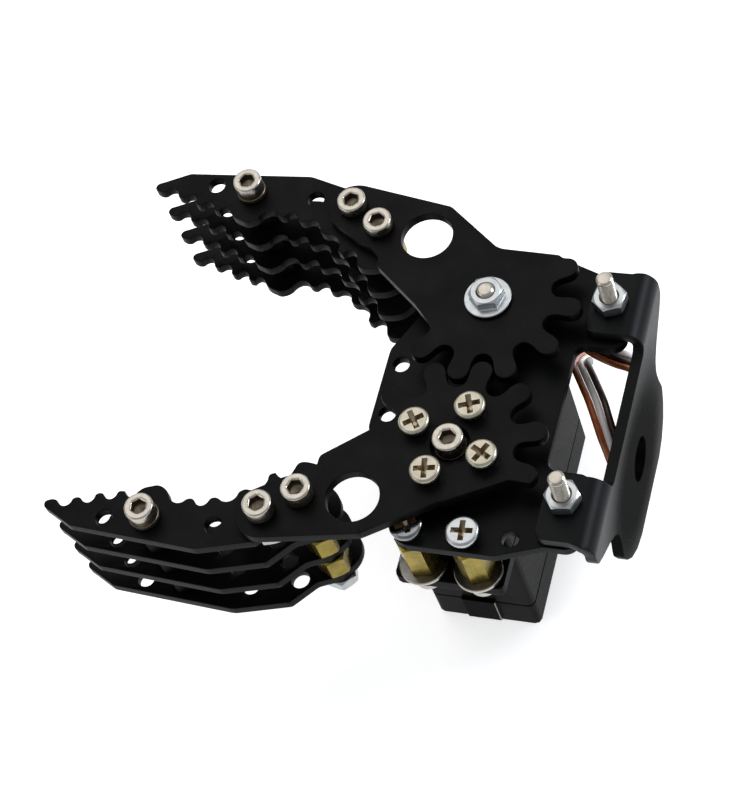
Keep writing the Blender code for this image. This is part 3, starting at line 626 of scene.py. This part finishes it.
def wrist_bracket():
    """Unroll the bent CAD sheet, refine it flat and bend it back."""
    low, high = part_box("wrist_bracket")
    half, mean_r = 1.0 * MM, 2.5 * MM
    axis_x, axis_z = low.x + mean_r + half, high.z - mean_r - half
    bend = math.pi / 2 * mean_r

    def unroll(point):
        x, z = point.x, point.z
        if x >= axis_x:
            return Vector((axis_x - x, point.y, z - high.z + half))
        if z <= axis_z:
            return Vector((bend + axis_z - z, point.y, low.x + half - x))
        turn = math.atan2(axis_x - x, z - axis_z)
        reach = math.hypot(axis_x - x, z - axis_z)
        return Vector((turn * mean_r, point.y, reach - mean_r))

    def roll(point):
        s, y, t = point
        if s <= 0:
            return Vector((axis_x - s, y, high.z - half + t))
        if s >= bend:
            return Vector((low.x + half - t, y, axis_z - (s - bend)))
        turn = s / mean_r
        return Vector((axis_x - (mean_r + t) * math.sin(turn), y,
                       axis_z + (mean_r + t) * math.cos(turn)))

    bm = node_bmesh("wrist_bracket")
    for vert in bm.verts:
        vert.co = unroll(vert.co)
    bm.normal_update()
    skin = {f for f in bm.faces if all(abs(v.co.z - half) < 0.1 * MM for v in f.verts)}
    loops = edge_loops(skin)
    bm.free()
    directed = []
    for loop in loops:
        area = sum(a.x * b.y - a.y * b.x for a, b in zip(loop, loop[1:] + loop[:1])) / 2
        loop = loop if area > 0 else loop[::-1]
        for point in loop:
            point.z = 0.0
        directed.append((area, loop))
    outer = max(range(len(directed)), key=lambda i: abs(directed[i][0]))
    loops = [refined(l if i == outer else l[::-1]) for i, (_, l) in enumerate(directed)]
    bm = plate_bmesh(loops, -half, half, 0.18 * MM)
    folds = 14
    for i in range(folds + 1):
        bmesh.ops.bisect_plane(bm, geom=bm.verts[:] + bm.edges[:] + bm.faces[:], dist=1e-7,
                               plane_co=(bend * i / folds, 0, 0), plane_no=(1, 0, 0))
    for vert in bm.verts:
        vert.co = roll(vert.co)
    return put("wrist_bracket_bent", bm, MATS["bracket"], BASE, ["wrist_bracket"],
               40, True)


# ---------------------------------------------------------------- fasteners
PAN_HEAD = 2.4         # height of the cross-head screws' heads
CAP_HEAD = 3.0         # height of the socket screws' heads
CAP_HEAD_R = 2.65
BRIGHT_WALL = 1.7      # how far down a socket head's wall is left unpainted; below it a painted shade
HEX_FLATS = 5.5        # across the flats of M3 nuts and posts
EAR_TOP = 29.6         # upper face of the servo's ears


def paint_shade_on(bm, centre, reach, floor_z, top_z):
    """Second material, a painted shade, for faces near the centre between two heights, such as
    inside a driver recess.
    """
    for face in bm.faces:
        middle = face.calc_center_median()
        away = math.hypot(middle.x - centre[0], middle.y - centre[1])
        if away < reach * MM and floor_z * MM < middle.z < top_z * MM:
            face.material_index = 1


def cap_screw(node, turned, head=CAP_HEAD, head_r=CAP_HEAD_R, washer=0.0, bright=BRIGHT_WALL):
    """Socket-head cap screw with a rounded rim, a hexagon socket and maybe a washer; socket and
    lower wall take a painted shade.
    """
    centre = middle_of(node)
    low, high = span_of(node)
    flat = 2.5

    def socket(turn):
        return hex_radius(turn, flat)

    seat = high - head
    rings = [ring(centre, low, 1.0), ring(centre, low + 0.4, 1.4), ring(centre, seat, 1.4)]
    if washer:
        rings += [ring(centre, seat, head_r), ring(centre, seat + 0.1, head_r + 0.1),
                  ring(centre, seat + washer - 0.1, head_r + 0.1),
                  ring(centre, seat + washer, head_r), ring(centre, seat + washer, head_r - 0.2)]
    else:
        rings += [ring(centre, seat, head_r - 0.2)]
    rings += [ring(centre, seat + washer + 0.15, head_r - 0.03)]
    rim = 0.34
    rings += [ring(centre, high - 1.6, head_r), ring(centre, high - rim, head_r)]
    for i in range(1, 5):
        turn = math.pi / 2 * i / 4
        rings.append(ring(centre, high - rim + rim * math.sin(turn),
                          head_r - rim + rim * math.cos(turn)))
    rings += [ring(centre, high, 1.62),
              ring(centre, high - 0.14, lambda t: min(1.5, socket(t) + 0.05)),
              ring(centre, high - 0.2, socket), ring(centre, high - 1.5, socket),
              ring(centre, high - 1.5, 1.0), ring(centre, high - 1.95, 0.06)]
    bm = bmesh.new()
    loft(bm, rings)
    # Painted shade: the socket's inside and the head's wall below bright take the dark second
    # material.
    paint_shade_on(bm, centre, 1.6, high - 2.2, high - 0.15)
    paint_shade_on(bm, centre, 4.0, low, high - bright)
    bmesh.ops.rotate(bm, cent=centre, verts=bm.verts,
                     matrix=Matrix.Rotation(math.radians(turned), 3, "Z"))
    return put(f"{node}_turned", bm, [MATS["nickel"], MATS["recess"]], NODE_BODY[node], [node],
               34)


def cross_cutter(depth, reach):
    """A tapered Phillips driver tip about the origin, pointing down."""
    bm = bmesh.new()
    for long_x in (True, False):
        rings = []
        for z, length, width in ((0.6, reach * 1.12, 0.54), (0.0, reach, 0.50),
                                 (-depth * 0.75, reach * 0.52, 0.34), (-depth, reach * 0.2, 0.2)):
            a, b = (length, width) if long_x else (width, length)
            rings.append([Vector((x * MM, y * MM, z * MM)) for x, y in
                          ((-a, -b), (a, -b), (a, b), (-a, b))])
        loft(bm, rings)
    return bm


def boolean_cut(bm, cutter):
    objects = []
    for part in (bm, cutter):
        bmesh.ops.recalc_face_normals(part, faces=part.faces)
        mesh = bpy.data.meshes.new("helper")
        part.to_mesh(mesh)
        part.free()
        obj = bpy.data.objects.new("helper", mesh)
        bpy.context.scene.collection.objects.link(obj)
        objects.append(obj)
    modifier = objects[0].modifiers.new("cut", "BOOLEAN")
    modifier.operation = "DIFFERENCE"
    modifier.solver = "EXACT"
    modifier.use_self = True
    modifier.object = objects[1]
    shaped = objects[0].evaluated_get(bpy.context.evaluated_depsgraph_get())
    result = bmesh.new()
    result.from_mesh(shaped.to_mesh())
    shaped.to_mesh_clear()
    for obj in objects:
        bpy.data.objects.remove(obj)
    return result


def pan_screw(node, head_r, turned, mat):
    """Phillips pan-head screw with a low rounded head."""
    centre = middle_of(node)
    low, high = span_of(node)
    seat = high - PAN_HEAD
    shank, wall, rim = 1.25, 1.85, 0.6
    here = (0.0, 0.0)
    rings = [ring(here, low, shank * 0.7), ring(here, low + 0.5, shank), ring(here, seat, shank),
             ring(here, seat, head_r - 0.65), ring(here, seat + 0.5, head_r - 0.55),
             ring(here, seat + wall - 0.4, head_r - 0.06), ring(here, seat + wall, head_r)]
    for i in range(1, 7):
        turn = math.pi / 2 * i / 6
        rings.append(ring(here, seat + wall + (high - seat - wall) * math.sin(turn),
                          head_r - rim + rim * math.cos(turn)))
    rings.append(ring(here, high, 0.05))
    bm = bmesh.new()
    loft(bm, rings)
    cutter = cross_cutter(1.5, 1.9)
    bmesh.ops.translate(cutter, vec=(0, 0, (high - 0.02) * MM), verts=cutter.verts)
    bm = boolean_cut(bm, cutter)
    # Painted shade: the cross recess takes the darker brown second material.
    paint_shade_on(bm, here, 2.1, high - 1.8, high - 0.04)
    bmesh.ops.rotate(bm, cent=(0, 0, 0), verts=bm.verts,
                     matrix=Matrix.Rotation(math.radians(turned), 3, "Z"))
    bmesh.ops.translate(bm, vec=(centre.x, centre.y, 0), verts=bm.verts)
    # Painted shade: the head's lower wall and the shank take the grey third material.
    for face in bm.faces:
        if face.material_index == 0 and face.calc_center_median().z < (seat + wall - 0.4) * MM:
            face.material_index = 2
    return put(f"{node}_head", bm, [mat, MATS["cross"], MATS["painted_grey"]], NODE_BODY[node], [node],
               30)


def nut_rings(centre, low, high, flats, bore, turned, flange=None):
    """Closed set of rings for a chamfered hexagon nut, with a flange if asked."""
    face_r = flats / 2 * 0.95
    fall = math.tan(math.radians(30))

    def outline(turn):
        return hex_radius(turn, flats)

    def hexagon(z, sign):
        points = ring(centre, z, outline, turned=turned)
        for i, point in enumerate(points):
            drop = max(0.0, outline(2 * math.pi * i / 48) - face_r) * fall
            point.z -= sign * drop * MM
        return points

    rings = [ring(centre, low + 0.25, bore, turned=turned),
             ring(centre, low, bore + 0.28, turned=turned)]
    if flange:
        rings += [ring(centre, low, flange - 0.2, turned=turned),
                  ring(centre, low + 0.15, flange, turned=turned),
                  ring(centre, low + 0.45, flange, turned=turned),
                  ring(centre, low + 0.58, flange - 0.12, turned=turned),
                  ring(centre, low + 0.66, lambda t: outline(t) + 0.2, turned=turned),
                  ring(centre, low + 0.84, outline, turned=turned)]
    else:
        rings += [ring(centre, low, face_r, turned=turned), hexagon(low, -1)]
    rings += [hexagon(high, 1), ring(centre, high, face_r, turned=turned),
              ring(centre, high, bore + 0.28, turned=turned),
              ring(centre, high - 0.25, bore, turned=turned)]
    return rings


def nut(node, turned, mat, flange=None):
    low, high = span_of(node)
    bm = bmesh.new()
    loft(bm, nut_rings(middle_of(node), low, high, HEX_FLATS, 1.52, math.radians(turned),
                       flange), closed=True)
    return put(f"{node}_hex", bm, mat, NODE_BODY[node], [node], 25)


def threaded_rings(centre, low, high, radius=1.5, pitch=0.5, sides=36):
    """Helical M3 thread as closely spaced rings."""
    rows = int((high - low) / pitch * 8)
    rings = []
    for row in range(rows + 1):
        z = low + (high - low) * row / rows
        points = []
        for i in range(sides):
            turn = 2 * math.pi * i / sides
            phase = (z / pitch - i / sides) % 1.0
            groove = 0.27 * min(1.0, max(0.0, 1.25 - abs(phase - 0.5) * 3.4))
            fade = min(1.0, (high - z) / 0.5, (z - low) / 0.3)
            points.append(Vector((centre[0] + (radius - groove * fade) * MM * math.cos(turn),
                                  centre[1] + (radius - groove * fade) * MM * math.sin(turn),
                                  z * MM)))
        rings.append(points)
    return rings


def stud_screw(node, head_height, mat):
    """A screw put in from below, its threaded end standing up through a nut."""
    centre = middle_of(node)
    low, high = span_of(node)
    under = low + head_height
    sides = 36
    rings = [ring(centre, low + 0.9, 0.06, sides), ring(centre, low + 0.9, 1.0, sides),
             ring(centre, low, 1.35, sides), ring(centre, low + 0.1, 2.2, sides),
             ring(centre, low + head_height * 0.45, 2.72, sides),
             ring(centre, under - 0.15, 2.85, sides), ring(centre, under, 2.7, sides),
             ring(centre, under, 1.49, sides), ring(centre, under + 0.6, 1.49, sides)]
    rings += threaded_rings(centre, under + 0.7, high - 0.3, 1.49, sides=sides)
    rings += [ring(centre, high - 0.22, 1.4, sides), ring(centre, high - 0.03, 1.18, sides),
              ring(centre, high, 1.1, sides)]
    bm = bmesh.new()
    loft(bm, rings)
    return put(f"{node}_threaded", bm, mat, NODE_BODY[node], [node], 50)


def hex_post(bm, centre, low, high, turned, bore=1.6, slot=0):
    loft(bm, nut_rings(centre, low, high, HEX_FLATS, bore, turned), closed=True, slot=slot)


def standoff(node, turned):
    """Hexagon brass standoff on its washer, with the screw head under the servo's ear."""
    centre = middle_of(node)
    low, high = span_of(node)
    bm = bmesh.new()
    hex_post(bm, centre, EAR_TOP + 0.85, high, math.radians(turned))
    washer = [(EAR_TOP, 1.7), (EAR_TOP, 4.2), (EAR_TOP + 0.12, 4.35), (EAR_TOP + 0.62, 4.35),
              (EAR_TOP + 0.76, 4.2), (EAR_TOP + 0.8, 1.7)]
    loft(bm, [ring(centre, z, r, 64) for z, r in washer], closed=True, slot=1)
    head = [(low + 1.2, 0.06), (low + 1.2, 0.9), (low, 1.3), (low + 0.12, 2.1), (low + 0.9, 2.7),
            (low + 2.3, 2.8), (low + 2.5, 2.6), (low + 2.5, 1.48), (EAR_TOP + 3.0, 1.48)]
    loft(bm, [ring(centre, z, r, 36) for z, r in head], slot=1)
    # Painted shade: the washer's top face under the post, and the shank above it, take the grey
    # third material.
    for face in bm.faces:
        if face.material_index == 1 and face.calc_center_median().z > (EAR_TOP + 0.77) * MM:
            face.material_index = 2
    return put(f"{node}_hex", bm, [MATS["brass"], MATS["nickel"], MATS["painted_grey"]], NODE_BODY[node],
               [node], 25)


def finger_spacers(node, tops, turned, mat):
    """Hexagon posts between the four grip plates, and the nut under the lowest."""
    centre = middle_of(node)
    low, high = span_of(node)
    plate, gap = 2.0, 0.3
    bm = bmesh.new()
    bolt = [ring(centre, low + 0.3, 1.1, 36), ring(centre, low + 0.5, 1.4, 36)]
    bolt += [ring(centre, high - 4.4, 1.4, 36), ring(centre, high - 4.2, 1.1, 36)]
    loft(bm, bolt, slot=1)
    for lower, upper in zip(tops[1:], tops):
        hex_post(bm, centre, lower + gap, upper - plate - gap, math.radians(turned), bore=1.55)
    hex_post(bm, centre, low, tops[-1] - plate - gap, math.radians(turned + 14), bore=1.55, slot=1)
    return put(f"{node}_posts", bm, [mat, MATS["zinc"]], NODE_BODY[node], [node], 25)


def brass_sleeve(node):
    centre = middle_of(node)
    low, high = span_of(node)
    profile = [(low, 1.62), (low, 2.85), (low + 0.15, 3.0), (high - 0.15, 3.0), (high, 2.85),
               (high, 1.62)]
    bm = bmesh.new()
    loft(bm, [ring(centre, z, r, 64) for z, r in profile], closed=True)
    return put(f"{node}_turned", bm, MATS["brass"], NODE_BODY[node], [node])


# ---------------------------------------------------------------- servo
def servo():
    for node in ("servo_case_bottom", "servo_case_middle", "servo_case_top"):
        softened(node, 0.35, MATS["case"])
    softened("servo_horn", 0.15, MATS["black"])
    for node, mat in (("servo_motor", "nickel"), ("control_board", "board"),
                      ("potentiometer", "case"), ("gear_pin", "nickel"), ("motor_pinion", "brass"),
                      ("first_gear", "brass"), ("second_gear", "nylon"), ("third_gear", "nylon"),
                      ("output_gear", "nickel")):
        data = NODES[node].data
        data.materials.clear()
        data.materials.append(MATS[mat])


def servo_trim():
    """Corner screws in the bottom cover, the pad on its end and the lead's grommet."""
    low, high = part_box("servo_case_bottom")
    corner = 2.6 * MM
    rear_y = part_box("servo_case_top")[0].y
    for number, (x, y) in enumerate(((low.x + corner, rear_y + corner),
                                     (high.x - corner, rear_y + corner),
                                     (low.x + corner, high.y - corner),
                                     (high.x - corner, high.y - corner)), 1):
        bm = bmesh.new()
        loft(bm, [ring((0, 0), z, r, 32) for z, r in
                  ((0.12, 0.9), (0.12, 1.15), (0.2, 1.25), (1.2, 1.25))])
        bmesh.ops.translate(bm, vec=(x, y, 0), verts=bm.verts)
        put(f"case_screw_{number}", bm, MATS["nickel"], BASE, ())
    bm = bmesh.new()
    face_y = high.y - 0.1 * MM
    pad = [(y, side) for y, side in ((face_y, 0.0), (face_y + 0.65 * MM, 0.0),
                                     (face_y + 0.8 * MM, 0.15))]
    loft(bm, [[Vector((x * MM, y, z * MM)) for x, z in
               ((-2.7 + side, 0.9 + side), (3.7 - side, 0.9 + side),
                (3.7 - side, 8.2 - side), (-2.7 + side, 8.2 - side))] for y, side in pad])
    bm.normal_update()
    # Painted light: the pad's side towards −X takes the lighter grey second material.
    for face in bm.faces:
        if face.calc_center_median().x < -2.5 * MM:
            face.material_index = 1
    put("case_end_pad", bm, [MATS["pad"], MATS["painted_grey"]], BASE, ())
    bm = bmesh.new()
    rings = []
    for i in range(9):
        t = i / 8
        wide = 2.1 - 0.55 * t
        tall = 1.25 - 0.35 * t
        rib = 0.12 if i % 2 else -0.05
        points = []
        for k in range(32):
            turn = 2 * math.pi * k / 32
            x = math.copysign(abs(math.cos(turn)) ** 0.6, math.cos(turn)) * (wide + rib)
            z = math.copysign(abs(math.sin(turn)) ** 0.6, math.sin(turn)) * (tall + rib)
            points.append(Vector((x * MM, low.y + (0.1 - 2.6 * t) * MM, 4.3 * MM + z * MM)))
        rings.append(points)
    loft(bm, rings)
    return put("lead_grommet", bm, MATS["grommet"], BASE, ())


# ---------------------------------------------------------------- stage
def area_light(name, place, aim, size, power, colour):
    data = bpy.data.lights.new(name, "AREA")
    data.shape = "DISK"
    data.size = size
    data.energy = power
    data.color = colour
    light = bpy.data.objects.new(name, data)
    bpy.context.scene.collection.objects.link(light)
    light.location = place
    light.rotation_mode = "QUATERNION"
    light.rotation_quaternion = (Vector(aim) - Vector(place)).to_track_quat("-Z", "Y")


def stage():
    bm = bmesh.new()
    bmesh.ops.create_grid(bm, x_segments=1, y_segments=1, size=4.0)
    mesh = bpy.data.meshes.new("floor")
    bm.to_mesh(mesh)
    bm.free()
    floor = bpy.data.objects.new("floor", mesh)
    bpy.context.scene.collection.objects.link(floor)
    mat, shader = principled("pale_floor", Base_Color=(0.95, 0.95, 0.95), Roughness=0.8,
                             Specular_IOR_Level=0.2, Emission_Strength=0.58)
    shader.inputs["Emission Color"].default_value = (1.0, 1.0, 1.0, 1.0)
    mesh.materials.append(mat)

    world = bpy.data.worlds.new("soft_room")
    bpy.context.scene.world = world
    world.use_nodes = True
    world.node_tree.nodes["Background"].inputs["Color"].default_value = (0.95, 0.97, 1.0, 1.0)
    world.node_tree.nodes["Background"].inputs["Strength"].default_value = 0.5
    centre = (0.02, 0.0, 0.03)
    area_light("key", (0.36, -0.52, 0.95), centre, 1.1, 3.4, (1.0, 0.97, 0.92))
    area_light("window", (-0.66, -0.44, 0.50), centre, 0.3, 4.5, (0.86, 0.92, 1.0))
    area_light("front", (0.6, 0.35, 0.5), centre, 0.4, 0.5, (1.0, 0.98, 0.95))


# ---------------------------------------------------------------- assembly
def main():
    make_camera()
    lead, path, length = servo_lead()
    plug, tie = connector(), coil_tie()

    for node in NODES:
        if node == "base_plate" or "gear_arm" in node or "grip_plate" in node:
            flat_plate(node)
    wrist_bracket()

    tops = [span_of(f"left_grip_plate_{i}")[1] for i in (1, 2, 3, 4)]
    for side, turns in (("left", (12, 40, -20)), ("right", (25, -10, 5))):
        for label, turned in zip(("inner", "outer", "tip"), turns):
            if label == "tip":
                cap_screw(f"{side}_{label}_screw", turned, CAP_HEAD + 1.0, washer=1.0)
            else:
                cap_screw(f"{side}_{label}_screw", turned, CAP_HEAD if side == "left" else 2.3)
        finger_spacers(f"{side}_inner_spacers", tops, 35, MATS["brass"])
        finger_spacers(f"{side}_tip_spacers", tops, 25, MATS["black"])
        nut(f"{side}_outer_nut", 20, MATS["zinc"])
    cap_screw("horn_centre_screw", 20, 4.4, 2.75, washer=1.3, bright=1.3)
    for number, turned in enumerate((35, 10, 62, 20), 1):
        pan_screw(f"horn_screw_{number}", 2.75, turned, MATS["ivory"])
    for number, turned in enumerate((30, 5, 50, 75), 1):
        spot = middle_of(f"plate_screw_{number}")
        # The plate screw at +x, +y takes a darker material: painted shade from the arm.
        mat = MATS["arm_shaded" if spot.x > 0 and spot.y > 0 else "zinc"]
        pan_screw(f"plate_screw_{number}", 2.95, turned, mat)
    for number, turned in ((1, 8), (2, 22)):
        stud_screw(f"bracket_bolt_{number}", 2.4, MATS["nickel"])
        nut(f"bracket_nut_{number}", turned, MATS["zinc"])
    stud_screw("pivot_bolt", 1.8, MATS["nickel"])
    nut("pivot_nut", 15, MATS["zinc"], flange=4.25)
    brass_sleeve("pivot_spacer")
    for number in (1, 2, 3, 4):
        standoff(f"servo_standoff_{number}", 12 * number)
    servo()
    servo_trim()
    stage()
    bpy.context.scene.view_settings.view_transform = "Standard"


main()
